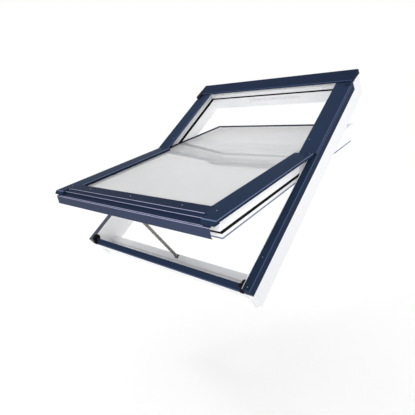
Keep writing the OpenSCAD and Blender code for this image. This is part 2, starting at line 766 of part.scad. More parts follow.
module sash_cover(side) {
    lip_low = 1.6;
    high = pivot_v - cover_gap;
    nose_l = 11;
    nose_drop = 13.6;
    strip_gap = 3;
    foot_v = -cover_overrun + 4;
    nose = [-cover_overrun + nose_l, sash_cover_rise];
    tip = [-cover_overrun, sash_cover_rise - nose_drop];
    color("#2c3e58") on_sash() sided(side) {
        difference() {
            up_slope(nose[0], high) polygon(folded(bent([
                [sash_cover_in, lip_low - 1], [sash_cover_in, sash_cover_rise],
                [sash_cover_out, sash_cover_rise], [sash_cover_out, lip_low]]), -sheet_t));
            // below the glass the cover narrows to a tongue beside the bottom cover
            block([sash_cover_in - past, nose[0] - past, lip_low - 2 * past],
                [tongue_x, bottom_step_1 - play, sash_cover_rise + past]);
            block([sash_cover_in - past, bottom_step_1 - play - past, lip_low - 2 * past],
                [bottom_cover_x + play, bottom_edge + play, sash_cover_rise + past]);
        }
        // the tongue's inner wall, its nose, and the end of its outer flange
        across(tongue_x, tongue_x + sheet_t) polygon([tip, nose, [bottom_step_1 - play, sash_cover_rise],
            [bottom_step_1 - play, tread[0] + play], [bottom_step_2 - play, tread[1] + play],
            [bottom_step_2 - play, apron[0] + play], [foot_v, apron[1] + 1.1]]);
        across(tongue_x, sash_cover_out) polygon(folded([[nose[0] + past, nose[1]], nose, tip], sheet_t));
        across(sash_cover_out - sheet_t, sash_cover_out) polygon([tip, nose,
            [nose[0] + past, nose[1] - sheet_t / 2], [-strip_gap, lip_low + past], [-strip_gap, tip[1]]]);
    }
}

// the part below the first step runs on under the tongues of the side covers
module sash_bottom_cover() {
    tuck_x = tongue_x + 12;
    color("#2c3e58") on_sash() {
        across(-bottom_cover_x, bottom_cover_x) polygon(folded(bent(concat([[bottom_edge, 0.6],
            [bottom_edge, sash_cover_rise]], bottom_line)), sheet_t));
        both_sides() across(bottom_cover_x - past, tuck_x)
            polygon(folded([for (i = [1:len(bottom_line) - 1]) bottom_line[i]], sheet_t));
    }
}

module drip_front() {
    under = apron[1] - 3;
    return = 6;
    color("#40465f") on_sash() across(-drip_x, drip_x) polygon(folded(bent([[-1, -2], [-drip_overrun, under],
        [-drip_overrun, -drip_depth], [-drip_overrun + return, -drip_depth]]), sheet_t));
}

module cover_seal() {
    seal_w = 3;
    top = 2;
    in_x = sash_cover_in;
    color("#141316") on_sash() {
        both_sides() block([in_x - seal_w, bottom_edge, -pane_drop], [in_x, pivot_v - cover_gap, top]);
        block([-in_x + seal_w, bottom_edge, -pane_drop], [in_x - seal_w, bottom_edge + seal_w, top]);
    }
}

module sash_screws() {
    rise = sash_cover_rise;
    color("#9aa3b5") on_sash() {
        both_sides() for (place = [[44, 42], [14, pivot_v - cover_gap - 7]])
            translate([sash_cover_out - place[0], place[1], rise]) cylinder(h = screw_h, r = screw_r);
        for (x = [-272, 0, 272])
            translate([x, bottom_step_1 + 24, rise]) cylinder(h = screw_h, r = screw_r);
    }
}

// ---- chain bracket ----

ear_in = chain_w / 2 + 1;

module chain_bracket() {
    ear_t = 2.5;
    foot_l = 9;
    foot_t = 2;
    out_x = ear_in + ear_t;
    color("#b9bcc2") on_sash() difference() {
        union() {
            block([chain_x - out_x, eye_v - foot_l, -sash_depth - foot_t],
                [chain_x + out_x, eye_v + foot_l, -sash_depth]);
            for (x = [chain_x - out_x, chain_x + ear_in])
                across(x, x + ear_t) {
                    translate([eye_v - eye_out, -eye_drop])
                        square([2 * eye_out, eye_drop - sash_depth - foot_t / 2]);
                    translate([eye_v, -eye_drop]) circle(r = eye_out);
                }
        }
        translate([chain_x - out_x - past, eye_v, -eye_drop]) rotate([0, 90, 0])
            cylinder(h = 2 * (out_x + past), r = eye_r + pin_clear);
    }
}

module bracket_pin() {
    reach = ear_in + 3.5;
    color("silver") on_sash() translate([chain_x - reach, eye_v, -eye_drop]) rotate([0, 90, 0])
        cylinder(h = 2 * reach, r = eye_r);
}

frame_jamb(-1);  // frame_jamb_left
frame_jamb(1);  // frame_jamb_right
frame_head();
frame_sill();
jamb_steel(-1);  // jamb_steel_left
jamb_steel(1);  // jamb_steel_right
frame_seal_ring();
edge_strip(-1);  // edge_strip_left
edge_strip(1);  // edge_strip_right
upper_cover(-1);  // upper_cover_left
upper_cover(1);  // upper_cover_right
hood();
hood_brackets();
hood_cap(-1);  // hood_cap_left
hood_cap(1);  // hood_cap_right
sill_cladding();
sill_cap(-1);  // sill_cap_left
sill_cap(1);  // sill_cap_right
frame_screws();
head_screws();
vent_plate();
vent_shutter();
drive_case();
drive_motor();
drive_sprocket();
sprocket_shaft();
chain_outlet();
chain();
hinge_plate(-1);  // hinge_plate_left
hinge_plate(1);  // hinge_plate_right
pivot_pin(-1);  // pivot_pin_left
pivot_pin(1);  // pivot_pin_right
hinge_arm(-1);  // hinge_arm_left
hinge_arm(1);  // hinge_arm_right
sash_stile(-1);  // sash_stile_left
sash_stile(1);  // sash_stile_right
sash_top_rail();
sash_bottom_rail();
stile_steel(-1);  // stile_steel_left
stile_steel(1);  // stile_steel_right
outer_pane();
inner_pane();
pane_spacer();
pane_tape();
glazing_beads();
glass_edging();
sash_seal();
sash_cover(-1);  // sash_cover_left
sash_cover(1);  // sash_cover_right
sash_bottom_cover();
drip_front();
cover_seal();
sash_screws();
chain_bracket();
bracket_pin();
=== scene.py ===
import json
import math
import bpy
from mathutils import Matrix, Vector


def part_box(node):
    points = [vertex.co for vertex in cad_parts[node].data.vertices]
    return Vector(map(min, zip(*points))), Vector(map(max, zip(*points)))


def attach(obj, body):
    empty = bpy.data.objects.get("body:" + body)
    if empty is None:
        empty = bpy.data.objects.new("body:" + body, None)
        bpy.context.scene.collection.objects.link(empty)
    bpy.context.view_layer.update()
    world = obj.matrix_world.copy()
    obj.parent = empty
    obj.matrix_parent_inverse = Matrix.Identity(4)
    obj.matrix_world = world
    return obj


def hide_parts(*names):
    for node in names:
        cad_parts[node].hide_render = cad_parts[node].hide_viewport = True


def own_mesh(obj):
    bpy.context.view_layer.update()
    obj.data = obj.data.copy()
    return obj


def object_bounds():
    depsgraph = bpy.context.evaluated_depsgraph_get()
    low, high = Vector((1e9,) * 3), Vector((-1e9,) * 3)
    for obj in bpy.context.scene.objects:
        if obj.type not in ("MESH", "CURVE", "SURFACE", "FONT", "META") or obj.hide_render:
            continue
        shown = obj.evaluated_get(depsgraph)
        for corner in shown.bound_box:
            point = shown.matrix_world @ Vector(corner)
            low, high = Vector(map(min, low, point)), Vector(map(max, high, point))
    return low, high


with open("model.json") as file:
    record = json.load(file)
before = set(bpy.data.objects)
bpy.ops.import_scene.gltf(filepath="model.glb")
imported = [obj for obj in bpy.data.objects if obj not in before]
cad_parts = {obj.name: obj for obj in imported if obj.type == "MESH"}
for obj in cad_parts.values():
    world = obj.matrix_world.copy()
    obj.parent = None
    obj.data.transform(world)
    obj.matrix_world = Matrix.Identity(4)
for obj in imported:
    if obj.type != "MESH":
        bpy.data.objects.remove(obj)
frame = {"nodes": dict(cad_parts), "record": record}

cad_box = [list(corner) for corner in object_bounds()]
record = frame["record"]
nodes = frame["nodes"]

# ---- Camera ----
# It stands outside the window, to the right of it and low, and looks level with the sash.
# The lens has a small shift, which sets the window high in the view.
camera_place = (1.12499, -0.98943, 0.53396)
camera_dip, camera_turn = 6.82, 41.02
bpy.ops.object.select_all(action="DESELECT")
bpy.ops.object.camera_add(location=camera_place,
                          rotation=(math.radians(90 - camera_dip), 0, math.radians(camera_turn)))
camera = bpy.context.object
camera.data.sensor_width = 36
camera.data.lens = 32.62
camera.data.shift_y = -0.0677
bpy.context.scene.camera = camera

# ---- Studio ----
# A white floor under the window and an even white room. A lamp high on the left draws the folds
# of the claddings, one on the right and one in front lift the sides and the sill, and a narrow
# one fills the shade under the hood.
floor_size, floor_back, floor_drop = 60, 10, 0.55
bpy.ops.mesh.primitive_plane_add(size=floor_size, location=(0, floor_back, cad_box[0][2] - floor_drop))
floor = bpy.context.object
floor.name = "studio_floor"
floor_paint = bpy.data.materials.new("studio_floor_white")
floor_paint.use_nodes = True
floor_shader = floor_paint.node_tree.nodes["Principled BSDF"]
floor_shader.inputs["Base Color"].default_value = (1, 1, 1, 1)
floor_shader.inputs["Roughness"].default_value = 0.9
floor_shader.inputs["Specular IOR Level"].default_value = 0
floor.data.materials.append(floor_paint)

world = bpy.data.worlds.new("studio_room")
world.use_nodes = True
world.node_tree.nodes["Background"].inputs["Color"].default_value = (1, 1, 1, 1)
world.node_tree.nodes["Background"].inputs["Strength"].default_value = 1.0
bpy.context.scene.world = world
bpy.context.scene.view_settings.view_transform = "Standard"


def new_lamp(name, kind, place, aim, power):
    """A lamp at a place, turned towards its aim."""
    bpy.ops.object.light_add(type=kind, location=place)
    stand = bpy.context.object
    stand.name = name
    stand.data.energy = power
    stand.rotation_euler = (Vector(aim) - Vector(place)).to_track_quat("-Z", "Y").to_euler()
    return stand.data


for lamp_name, place, aim, size, power in (
        ("lamp_high_left", (-2.2, -1.4, 3.0), (0, 0.3, 0.4), 0.6, 14),
        ("lamp_right", (3.2, 0.6, 1.4), (0.3, 0.4, 0.4), 0.6, 2),
        ("lamp_front", (0.4, -3.5, 0.9), (0.0, 0.1, 0.1), 1.2, 12)):
    lamp = new_lamp(lamp_name, "AREA", place, aim, power)
    lamp.size = size

spot = new_lamp("lamp_head", "SPOT", (1.6, -2.6, 0.8), (-0.12, 0.80, 0.72), 330)
spot.spot_size = math.radians(23)
spot.spot_blend = 1.0
spot.shadow_soft_size = 0.3


# ---- Frame bars ----
# Jambs, head and sill are hollow extruded bars of white PVC, cut at the ends and welded.
# The extrusion leaves faint lines along each bar, and the skin has a satin gloss.
class Wire:
    """A shader socket that Python's operators work on."""

    def __init__(self, tree, socket):
        self.tree, self.socket = tree, socket

    def node(self, kind, settings=None, out=0, **values):
        """A new shader node: its settings first, then its sockets, then one of its outputs."""
        made = self.tree.nodes.new("ShaderNode" + kind)
        for name, value in (settings or {}).items():
            setattr(made, name, value)
        for name, value in values.items():
            key = int(name[1:]) if name[0] == "_" else name.replace("_", " ")
            if isinstance(value, Wire):
                self.tree.links.new(value.socket, made.inputs[key])
            else:
                made.inputs[key].default_value = value
        return Wire(self.tree, made.outputs[out])

    def math(self, operation, first, second=0.0):
        return self.node("Math", {"operation": operation}, _0=first, _1=second)

    def __add__(self, other):
        return self.math("ADD", self, other)

    def __radd__(self, other):
        return self.math("ADD", other, self)

    def __sub__(self, other):
        return self.math("SUBTRACT", self, other)

    def __rsub__(self, other):
        return self.math("SUBTRACT", other, self)

    def __mul__(self, other):
        return self.math("MULTIPLY", self, other)

    def __rmul__(self, other):
        return self.math("MULTIPLY", other, self)


def finish(name, roughness, **constants):
    """A new material: its shader, and its Object coordinates as a Wire."""
    paint = bpy.data.materials.new(name)
    paint.use_nodes = True
    shader = paint.node_tree.nodes["Principled BSDF"]
    shader.inputs["Roughness"].default_value = roughness
    for socket, value in constants.items():
        shader.inputs[socket.replace("_", " ")].default_value = value
    place = Wire(paint.node_tree, None).node("TexCoord", out="Object")
    return paint, shader, place


def feed(shader, **wires):
    """Links wires to the sockets of a shader."""
    for socket, wire in wires.items():
        wire.tree.links.new(wire.socket, shader.inputs[socket.replace("_", " ")])


def blend_colours(share, first, second):
    """A colour that goes from the first to the second as share goes from 0 to 1."""
    return share.node("Mix", {"data_type": "RGBA"}, 2, _0=share, _6=first, _7=second)


def painted(piece, paint):
    """Gives a piece its one material."""
    piece.data.materials.clear()
    piece.data.materials.append(paint)
    return piece


def eased(node, radius):
    """Welds a CAD node's triangles and rounds its edges slightly, as the real piece's are."""
    weld = node.modifiers.new("weld", "WELD")
    weld.merge_threshold = 0.000002
    flat = node.modifiers.new("flat", "DECIMATE")
    flat.decimate_type = "DISSOLVE"
    flat.angle_limit = math.radians(0.5)
    edge = node.modifiers.new("edge", "BEVEL")
    edge.width = radius
    edge.segments = 2
    edge.limit_method = "ANGLE"
    edge.angle_limit = math.radians(40)


def coat(names, paint, radius=0.0):
    """Gives the CAD nodes a material, and eases their edges."""
    for name in names:
        painted(nodes[name], paint)
        if radius:
            eased(nodes[name], radius)


def white_plastic(name, tilt, stretch, dark, light):
    """Satin white PVC with extrusion lines that run where stretch is small."""
    paint, shader, place = finish(name, 0.3, IOR=1.5)
    level = place.node("Mapping", Vector=place, Rotation=(-tilt, 0, 0))
    lines = level.node("Mapping", Vector=level, Scale=stretch)
    fine = lines.node("TexNoise", Vector=lines, Scale=1.0, Detail=3.0, Roughness=0.6)
    cloud = place.node("TexNoise", Vector=place, Scale=7.0, Detail=2.0)
    grain = place.node("TexNoise", Vector=place, Scale=900.0, Detail=1.0)
    feed(shader, Base_Color=blend_colours(cloud, dark, light), Roughness=0.26 + 0.14 * fine,
         Normal=fine.node("Bump", Strength=0.12, Distance=0.0004, Height=fine + 0.3 * grain))
    return paint


pitch = math.asin(-record["mounts"][0]["axis"][2])
bar_edge = 0.0012
lines_up, lines_across = (420.0, 3.0, 420.0), (3.0, 420.0, 420.0)
shaded_white = (0.80, 0.803, 0.82, 1), (0.85, 0.853, 0.87, 1)
sunlit_white = (0.91, 0.912, 0.925, 1), (0.94, 0.942, 0.95, 1)
coat(["frame_jamb_right"], white_plastic("pvc_jamb", pitch, lines_up, *shaded_white), bar_edge)
# The left jamb gets a brighter copy of the same white: painted light on its inner face.
coat(["frame_jamb_left"], white_plastic("pvc_jamb_left_painted_light", pitch, lines_up, *sunlit_white), bar_edge)
coat(["frame_head", "frame_sill"],
     white_plastic("pvc_head", pitch, lines_across, *shaded_white), bar_edge)


# ---- Steel in the jambs and stiles ----
# Zinc-plated steel tubes slid into the plastic bars to stiffen them. They are closed in when the
# bars are welded at their ends.
def zinc(name):
    """Zinc plating with its faint crystals."""
    paint, shader, place = finish(name, 0.4, Metallic=1.0)
    flakes = place.node("TexVoronoi", Vector=place, Scale=160.0)
    feed(shader, Base_Color=blend_colours(flakes, (0.50, 0.52, 0.55, 1), (0.66, 0.67, 0.69, 1)),
         Roughness=0.32 + 0.2 * flakes,
         Normal=flakes.node("Bump", Strength=0.1, Distance=0.0003, Height=flakes))
    return paint


zinc_steel = zinc("zinc_steel")
tube_edge = 0.0004
coat(["jamb_steel_left", "jamb_steel_right", "stile_steel_left", "stile_steel_right"],
     zinc_steel, tube_edge)


# ---- Seals of the frame and the sash ----
# Black rubber gaskets pressed into grooves of the bars, one length to a side. The same rubber
# beds the glass and lies between the covers and the glass.
def rubber(name, shade):
    """Matt black rubber, a little dusty."""
    paint, shader, place = finish(name, 0.5, Specular_IOR_Level=0.03)
    dust = place.node("TexNoise", Vector=place, Scale=40.0, Detail=4.0)
    clean, dusty = (shade, shade, shade * 1.1, 1), (shade * 2.4, shade * 2.4, shade * 2.5, 1)
    grain = place.node("TexNoise", Vector=place, Scale=1500.0)
    feed(shader, Base_Color=blend_colours(dust, clean, dusty), Roughness=0.42 + 0.3 * dust,
         Normal=grain.node("Bump", Strength=0.15, Distance=0.0003, Height=grain))
    return paint


gasket = rubber("gasket_black", 0.004)
gasket_edge = 0.0006
coat(["frame_seal_ring", "sash_seal", "cover_seal", "pane_tape"], gasket, gasket_edge)


# ---- Flap of the frame's seal ----
# A soft black flap under the seal on each jamb's upper half, of the same rubber as the seal and
# clipped into the same groove.
def seated(piece, frame_of):
    """Puts a piece, modelled round the origin, in its place, and keeps that place in its mesh."""
    bpy.ops.object.select_all(action="DESELECT")
    bpy.context.view_layer.objects.active = piece
    piece.select_set(True)
    piece.matrix_world = frame_of @ piece.matrix_world
    bpy.ops.object.transform_apply(location=True, rotation=True, scale=True)
    return piece


def applied(piece):
    """Applies each modifier of a piece."""
    bpy.ops.object.select_all(action="DESELECT")
    bpy.context.view_layer.objects.active = piece
    piece.select_set(True)
    for modifier in list(piece.modifiers):
        bpy.ops.object.modifier_apply(modifier=modifier.name)
    return piece


def joined(pieces, name):
    """Joins finished pieces into one, with a name."""
    bpy.ops.object.select_all(action="DESELECT")
    for piece in pieces:
        piece.select_set(True)
    bpy.context.view_layer.objects.active = pieces[0]
    bpy.ops.object.join()
    pieces[0].name = name
    return pieces[0]


def bevelled(piece, width, segments=2):
    """Rounds the sharp edges of a piece."""
    edge = piece.modifiers.new("edge", "BEVEL")
    edge.width, edge.segments, edge.limit_method = width, segments, "ANGLE"
    return piece


def slab(size, centre):
    """A block by its size and centre."""
    bpy.ops.object.select_all(action="DESELECT")
    bpy.ops.mesh.primitive_cube_add(size=1, location=centre)
    bpy.context.object.scale = size
    bpy.ops.object.transform_apply(location=True, rotation=True, scale=True)
    return bpy.context.object


strip_top = 0.045
roof_frame = Matrix.Rotation(pitch, 4, "X") @ Matrix.Translation((0, 0, strip_top))
flap_t, flap_h, flap_edge = 0.0026, 0.007, 0.0005
flap_low, flap_high = 0.697, 1.136
flap_x, flap_out = 0.4337, -0.0612
flap_size = (flap_t, flap_high - flap_low, flap_h)
flaps = [slab(flap_size, (side * flap_x, (flap_high + flap_low) / 2, flap_out)) for side in (-1, 1)]
seal_flap = joined([applied(bevelled(flap, flap_edge)) for flap in flaps], "seal_flap")
painted(seated(seal_flap, roof_frame), gasket)
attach(seal_flap, "frame")


# ---- Corner pads ----
# Thin round pads of black cellular rubber with a dished face, glued to the jambs' feet. The
# closed sash presses them down.
def rod(radius, length, centre, corners=20):
    """A round bar across the window."""
    bpy.ops.object.select_all(action="DESELECT")
    bpy.ops.mesh.primitive_cylinder_add(vertices=corners, radius=radius, depth=length, location=centre,
                                        rotation=(0, math.pi / 2, 0))
    bpy.ops.object.transform_apply(location=True, rotation=True, scale=True)
    return bpy.context.object


pad_foam = rubber("pad_foam_black", 0.007)
pad_r, pad_t, pad_edge = 0.020, 0.0045, 0.001
pad_rim, pad_dish = 0.005, -0.0008
pad_x, pad_up, pad_out, pad_foot = 0.4335, 0.018, -0.010, -0.030
for side, label in ((-1, "left"), (1, "right")):
    pad = rod(pad_r, pad_t, (0, 0, 0), corners=40)
    pad.name = "corner_pad_" + label
    bpy.ops.object.mode_set(mode="EDIT")
    bpy.ops.mesh.select_mode(type="FACE")
    bpy.ops.mesh.select_all(action="DESELECT")
    bpy.ops.object.mode_set(mode="OBJECT")
    for face in pad.data.polygons:
        face.select = abs(face.normal.x) > 0.9
    bpy.ops.object.mode_set(mode="EDIT")
    bpy.ops.mesh.inset(thickness=pad_rim, depth=pad_dish)
    bpy.ops.object.mode_set(mode="OBJECT")
    applied(bevelled(pad, pad_edge, segments=3))
    painted(seated(pad, roof_frame @ Matrix.Translation((side * pad_x, pad_up, pad_out))), pad_foam)
    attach(pad, "frame")
    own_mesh(pad)


# ---- Vent ----
# A long plate with round ends clipped into the head, slotted, with a shutter behind it
# that is pushed along by a small grip in the middle.
def moulded(name, dark, light, rough=0.45, shine=0.5):
    """Moulded plastic with a fine grain from the mould."""
    paint, shader, place = finish(name, rough, Specular_IOR_Level=shine)
    cloud = place.node("TexNoise", Vector=place, Scale=30.0, Detail=3.0)
    grain = place.node("TexVoronoi", Vector=place, Scale=1400.0)
    feed(shader, Base_Color=blend_colours(cloud, dark, light), Roughness=rough - 0.06 + 0.14 * cloud,
         Normal=grain.node("Bump", Strength=0.12, Distance=0.0003, Height=grain))
    return paint


vent_white = moulded("vent_white", (0.70, 0.70, 0.715, 1), (0.78, 0.78, 0.79, 1), rough=0.38)
vent_edge = 0.0004
coat(["vent_plate", "vent_shutter"], vent_white, vent_edge)


# ---- Claddings of the frame ----
# Folded aluminium sheet with a dark blue stove finish, screwed to the frame. The paint has a
# fine orange peel, and the thin light lines along its folds are painted highlights.
def flat_place(place, frame_of):
    """Distances across, up and out of the roof, or of the closed sash, as three Wires."""
    back = frame_of.inverted()
    flat = place.node("Mapping", Vector=place, Location=back.translation, Rotation=back.to_euler())
    return {axis: flat.node("SeparateXYZ", out=i, Vector=flat)
            for i, axis in enumerate(("across", "up", "out"))}


def near(wire, value, width):
    """1 where a wire is at the value, down to 0 at width from it."""
    gap = wire.math("ABSOLUTE", wire - value)
    full = 0.35 * width
    return wire.node("MapRange", _0=gap, _1=full, _2=width, _3=1.0, _4=0.0)


def stove_paint(name, dark, light, shine, frame_of=None, folds=(), fold_highlight=(0.075, 0.10, 0.19, 1),
                fold_w=0.003):
    """Stove paint with painted highlights along its folds. A fold is (axis, place, other axis, place on
    it).
    """
    paint, shader, place = finish(name, 0.3, Specular_IOR_Level=shine)
    drift = place.node("TexNoise", Vector=place, Scale=5.0, Detail=3.0, Roughness=0.55)
    colour = blend_colours(drift, dark, light)
    if folds:
        flat = flat_place(place, frame_of)
        flat["across"] = place.math("ABSOLUTE", flat["across"])
        lines = None
        # Thin painted highlight lines along the folds, made patchy by a noise.
        for axis, at, other, level in folds:
            line = near(flat[axis], at, fold_w) * near(flat[other], level, fold_w)
            lines = line if lines is None else lines.math("MAXIMUM", lines, line)
        highlight_patches = 0.75 + 0.5 * place.node("TexNoise", Vector=place, Scale=28.0, Detail=2.0)
        colour = blend_colours(lines * highlight_patches, colour, fold_highlight)
    peel = place.node("TexNoise", Vector=place, Scale=420.0, Detail=2.0)
    feed(shader, Base_Color=colour, Roughness=0.25 + 0.16 * drift,
         Normal=peel.node("Bump", Strength=0.07, Distance=0.0005, Height=peel))
    return paint


sheet_edge = 0.0004
strip_x, cover_x, cover_out, sill_lip_out = 0.470, 0.3915, 0.0123, -0.027
frame_folds = (("across", strip_x, "out", 0), ("across", cover_x, "out", cover_out),
               ("across", strip_x, "out", cover_out), ("up", 0, "out", sill_lip_out))
navy_frame = stove_paint("navy_frame_paint", (0.0145, 0.0255, 0.054, 1), (0.0195, 0.0325, 0.065, 1),
                         shine=0.008, frame_of=roof_frame, folds=frame_folds)
# The left edge strip gets a paler copy of the same paint: painted sheen of grazing light.
navy_strip_sheen = stove_paint("navy_strip_sheen_paint", (0.04, 0.042, 0.075, 1), (0.055, 0.056, 0.09, 1),
                         shine=0.2, frame_of=roof_frame, folds=frame_folds)
coat(["edge_strip_right", "upper_cover_left", "upper_cover_right", "sill_cladding"],
     navy_frame, sheet_edge)
coat(["edge_strip_left"], navy_strip_sheen, sheet_edge)

# ---- Hood ----
# A folded sheet across the top of the frame keeps the rain out of the upper gap. Its blue is
# painted darker than the other claddings as painted shade, and the thin light lines on its folds
# are painted highlights. It sits on pressed steel brackets, and a cap of its own colour closes its
# right end.
# The hood's darker blue is painted shade.
hood_painted_shade = (0.009, 0.016, 0.038, 1), (0.013, 0.022, 0.048, 1)
hood_low, hood_high, hood_out = 1.092, 1.180, 0.0216
hood_folds = (("up", hood_low, "out", hood_out), ("up", hood_high, "out", hood_out))
navy_hood_shaded = stove_paint("navy_hood_shaded_paint", *hood_painted_shade, shine=0.008, frame_of=roof_frame,
                        folds=hood_folds, fold_highlight=(0.05, 0.07, 0.14, 1))
pressed_edge = 0.0003
coat(["hood", "hood_cap_right"], navy_hood_shaded, sheet_edge)
coat(["hood_brackets"], zinc_steel, pressed_edge)

# ---- Caps and outlet ----
# The caps that close the hood's left end and the ends of the sill cladding, and the outlet of
# the chain in the sill, are moulded black plastic. They are clipped on.
black_plastic = moulded("black_plastic", (0.005, 0.005, 0.007, 1), (0.012, 0.011, 0.015, 1), shine=0.06)
cap_edge = 0.0006
coat(["hood_cap_left", "sill_cap_left", "sill_cap_right", "chain_outlet"], black_plastic, cap_edge)

# ---- Hood's left corner ----
# A moulded black shoe over the lower left corner of the hood. It stands on the frame's upper
# cover and is clipped to the hood's end cap.
shoe_size, shoe_place, shoe_edge = (0.0236, 0.068, 0.0115), (-0.4609, 1.094, 0.01815), 0.0012
shoe = applied(seated(bevelled(slab(shoe_size, shoe_place), shoe_edge), roof_frame))
shoe.name = "hood_shoe"
painted(shoe, black_plastic)
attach(shoe, "frame")


# ---- Drive ----
# A grey plastic case let into the sill, with a painted motor in it. The motor turns a steel
# sprocket on its shaft, and the sprocket pushes the chain out.
def turned_steel(name, dark, light, rough):
    """Bare steel with fine turning marks."""
    paint, shader, place = finish(name, rough, Metallic=1.0)
    ring = place.node("Mapping", Vector=place, Scale=(30.0, 900.0, 900.0))
    scratch = place.node("TexNoise", Vector=ring, Detail=2.0)
    feed(shader, Base_Color=blend_colours(scratch, dark, light), Roughness=rough - 0.08 + 0.2 * scratch)
    return paint


case_grey = moulded("case_grey", (0.50, 0.50, 0.51, 1), (0.58, 0.58, 0.59, 1))
motor_grey = stove_paint("motor_grey", (0.20, 0.20, 0.21, 1), (0.27, 0.27, 0.28, 1), shine=0.02)
bright_steel = turned_steel("bright_steel", (0.55, 0.56, 0.58, 1), (0.74, 0.75, 0.77, 1), rough=0.25)
oiled_steel = turned_steel("oiled_steel", (0.22, 0.21, 0.20, 1), (0.40, 0.38, 0.36, 1), rough=0.42)
coat(["drive_case"], case_grey, cap_edge)
coat(["drive_motor"], motor_grey)
coat(["sprocket_shaft"], bright_steel)
coat(["drive_sprocket"], oiled_steel)


# ---- Push chain ----
# Steel links in two widths that turn one way only, so that the chain stands up by itself; each
# link has side plates, a block between them and a pin. The last is an eye on the sash's bracket.
chain_w, link_pitch = 0.015, 0.012
plate_r, plate_t, plate_edge = 0.005, 0.0016, 0.00025
outer_x, inner_x = chain_w / 2 - plate_t / 2, chain_w / 2 - 1.6 * plate_t
block_w, block_h, block_l, block_edge = chain_w - 4.4 * plate_t, 0.0104, 0.82 * link_pitch, 0.0008
link_pin_r, link_pin_l, link_pin_edge = 0.0022, chain_w + 0.0002, 0.0003
tail_w, tail_h, tail_l, tail_up, tail_edge = chain_w - 2 * plate_t, 0.0088, 0.014, -0.008, 0.001
lug_w, lug_h, lug_l, lug_edge = chain_w - 2.4 * plate_t, 0.0078, 0.006, 0.0006
eye_r, eye_hole_r = 0.004, 0.0027


def repeated(piece, count, step):
    """A row of copies of a piece, up the chain."""
    row = piece.modifiers.new("row", "ARRAY")
    row.count, row.use_relative_offset, row.use_constant_offset = count, False, True
    row.constant_offset_displace = (0, 0, step)
    return piece


def link_plate(side, low, length):
    """A pair of side plates with round ends: one half of a disc is pulled away from the other."""
    plate = rod(plate_r, plate_t, (side, 0, low), corners=28)
    just_over = low + 0.0001
    for corner in plate.data.vertices:
        corner.select = corner.co.z > just_over
    bpy.ops.object.mode_set(mode="EDIT")
    bpy.ops.mesh.select_mode(type="VERT")
    bpy.ops.transform.translate(value=(0, 0, length))
    bpy.ops.object.mode_set(mode="OBJECT")
    bevelled(plate, plate_edge).modifiers.new("pair", "MIRROR")
    return plate


joints = {joint["name"]: joint for joint in record["behaviour"]["joints"]}
chain_out = Vector(joints["chain_swing"]["pos_m"])
pin_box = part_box("bracket_pin")
chain_eye = (Vector(pin_box[0]) + Vector(pin_box[1])) / 2
chain_run = chain_eye - Vector((chain_eye.x, chain_out.y, chain_out.z))
chain_way = chain_run.normalized()
chain_side = chain_way.cross(Vector((1, 0, 0)))
chain_frame = Matrix(((1, chain_side.x, chain_way.x, chain_eye.x),
                      (0, chain_side.y, chain_way.y, chain_out.y),
                      (0, chain_side.z, chain_way.z, chain_out.z),
                      (0, 0, 0, 1)))

links = int((chain_run.length - lug_l) / link_pitch)
lug_low, lug_high = links * link_pitch, chain_run.length
outer_plate = link_plate(outer_x, 0, link_pitch)
repeated(outer_plate, (links + 1) // 2, 2 * link_pitch)
inner_plate = link_plate(inner_x, link_pitch, link_pitch)
repeated(inner_plate, links // 2, 2 * link_pitch)
link_block = bevelled(slab((block_w, block_h, block_l), (0, 0, link_pitch / 2)), block_edge)
repeated(link_block, links, link_pitch)
link_pin = bevelled(rod(link_pin_r, link_pin_l, (0, 0, 0)), link_pin_edge)
repeated(link_pin, links + 1, link_pitch)
tail = bevelled(slab((tail_w, tail_h, tail_l), (0, 0, tail_up)), tail_edge)
lug = bevelled(slab((lug_w, lug_h, lug_high - lug_low), (0, 0, (lug_high + lug_low) / 2)), lug_edge)
eye_ring = rod(eye_r, lug_w, (0, 0, lug_high), corners=32)
eye_hole = rod(eye_hole_r, chain_w, (0, 0, lug_high), corners=32)
for part in (lug, eye_ring):
    hole = part.modifiers.new("hole", "BOOLEAN")
    hole.object, hole.solver = eye_hole, "EXACT"
chain_parts = (outer_plate, inner_plate, link_block, link_pin, tail, lug, eye_ring)
push_chain = joined([applied(part) for part in chain_parts], "push_chain")
bpy.data.objects.remove(eye_hole)
painted(seated(push_chain, chain_frame), oiled_steel)
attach(push_chain, "chain")
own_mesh(push_chain)
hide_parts("chain")
coat(["chain_bracket"], zinc_steel, pressed_edge)
coat(["bracket_pin"], bright_steel)

# ---- Sash bars ----
# The stiles and rails of the sash, and the beads that hold the glass, are the same white PVC as
# the frame. The bars are welded at the corners and the beads are clipped in.
opening = math.radians(-joints["sash_pivot"]["range_deg"][0])
pivot = Vector(joints["sash_pivot"]["pos_m"])
swung = Matrix.Translation(pivot) @ Matrix.Rotation(-opening, 4, "X") @ Matrix.Translation(-pivot)
sash_frame = swung @ roof_frame
sash_tilt = pitch - opening
# The stiles get a brighter copy of the same white: painted light on their sides.
lit_white = (0.92, 0.922, 0.935, 1), (0.96, 0.962, 0.97, 1)
coat(["sash_stile_left", "sash_stile_right"],
     white_plastic("pvc_stile_painted_light", sash_tilt, lines_up, *lit_white), bar_edge)
coat(["sash_top_rail", "sash_bottom_rail", "glazing_beads"],
     white_plastic("pvc_rail", sash_tilt, lines_across, *shaded_white), bar_edge)

